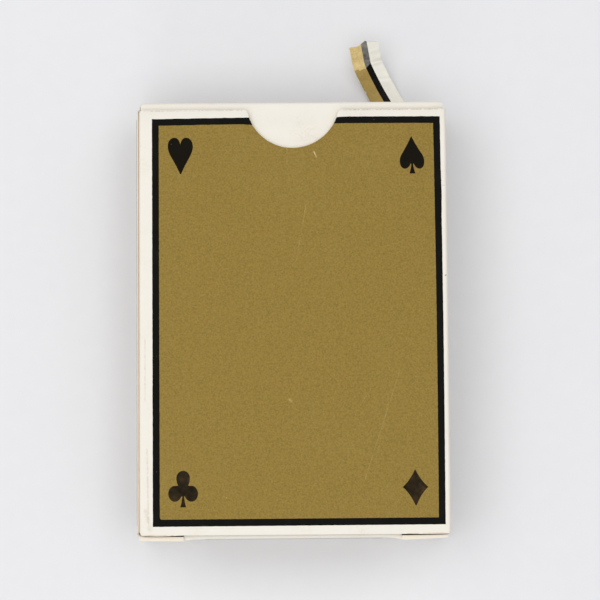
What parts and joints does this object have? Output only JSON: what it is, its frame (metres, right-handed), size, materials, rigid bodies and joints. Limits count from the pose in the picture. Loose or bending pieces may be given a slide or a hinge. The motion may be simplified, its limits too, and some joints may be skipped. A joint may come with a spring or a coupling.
{
  "type": "playing card deck box",
  "caption": "Folded paperboard tuck box for a poker-size deck of cards, with hinged closures, tuck and dust flaps, a thumb notch and the deck inside.",
  "frame": {"origin": "middle of the back panel's outer face, which the box lies on", "axes": "+X across the box, +Y along it towards the lid, +Z out of the front panel"},
  "size_m": [0.0666, 0.1093, 0.0181],
  "materials": {
    "cream_board": "satin",
    "inside_board": "matte",
    "gold_ink": "satin",
    "card_stock": "satin"
  },
  "bodies": {
    "case": {"front_panel": "cream_board", "back_panel": "cream_board", "left_side_panel": "cream_board", "right_side_panel": "cream_board", "glue_seam_flap": "inside_board", "torn_strip": "gold_ink"},
    "lid": {"lid_panel": "cream_board"},
    "lid_tuck": {"lid_tuck_flap": "cream_board"},
    "top_left_dust": {"top_left_dust_flap": "cream_board"},
    "top_right_dust": {"top_right_dust_flap": "cream_board"},
    "base": {"bottom_panel": "cream_board"},
    "base_tuck": {"bottom_tuck_flap": "cream_board"},
    "bottom_left_dust": {"bottom_left_dust_flap": "cream_board"},
    "bottom_right_dust": {"bottom_right_dust_flap": "cream_board"},
    "deck": {"heart_cards": "card_stock", "club_cards": "card_stock", "diamond_cards": "card_stock", "spade_cards": "card_stock", "joker_card_1": "card_stock", "joker_card_2": "card_stock"}
  },
  "joints": [
    {"name": "lid_hinge", "type": "hinge", "parent": "case", "child": "lid", "pos_m": [0, 0.0461, 0.0004], "axis": [-1, 0, 0], "range_deg": [0, 88], "deforming": ["torn_strip"]},
    {"name": "lid_tuck_fold", "type": "hinge", "parent": "lid", "child": "lid_tuck", "pos_m": [0, 0.0461, 0.01642], "axis": [-1, 0, 0], "range_deg": [-50, 0]},
    {"name": "top_left_dust_fold", "type": "hinge", "parent": "case", "child": "top_left_dust", "pos_m": [-0.03288, 0.0454, 0.00903], "axis": [0, 0, 1], "range_deg": [0, 45]},
    {"name": "top_right_dust_fold", "type": "hinge", "parent": "case", "child": "top_right_dust", "pos_m": [0.03288, 0.0454, 0.00903], "axis": [0, 0, -1], "range_deg": [0, 45]},
    {"name": "bottom_hinge", "type": "hinge", "parent": "case", "child": "base", "pos_m": [0, -0.0461, 0.0004], "axis": [1, 0, 0], "range_deg": [0, 88]},
    {"name": "bottom_tuck_fold", "type": "hinge", "parent": "base", "child": "base_tuck", "pos_m": [0, -0.0461, 0.01642], "axis": [1, 0, 0], "range_deg": [-50, 0]},
    {"name": "bottom_left_dust_fold", "type": "hinge", "parent": "case", "child": "bottom_left_dust", "pos_m": [-0.03288, -0.0454, 0.00903], "axis": [0, 0, -1], "range_deg": [0, 45]},
    {"name": "bottom_right_dust_fold", "type": "hinge", "parent": "case", "child": "bottom_right_dust", "pos_m": [0.03288, -0.0454, 0.00903], "axis": [0, 0, 1], "range_deg": [0, 45]},
    {"name": "deck_slide", "type": "slide", "parent": "case", "child": "deck", "axis": [0, 1, 0], "range_m": [-0.0006, 0.0006]}
  ],
  "couplings": [
    {"joint": "lid_tuck_fold", "follows": "lid_hinge", "ratio": -0.56},
    {"joint": "top_left_dust_fold", "follows": "lid_hinge", "ratio": 0.5},
    {"joint": "top_right_dust_fold", "follows": "lid_hinge", "ratio": 0.5},
    {"joint": "bottom_tuck_fold", "follows": "bottom_hinge", "ratio": -0.56},
    {"joint": "bottom_left_dust_fold", "follows": "bottom_hinge", "ratio": 0.5},
    {"joint": "bottom_right_dust_fold", "follows": "bottom_hinge", "ratio": 0.5}
  ]
}
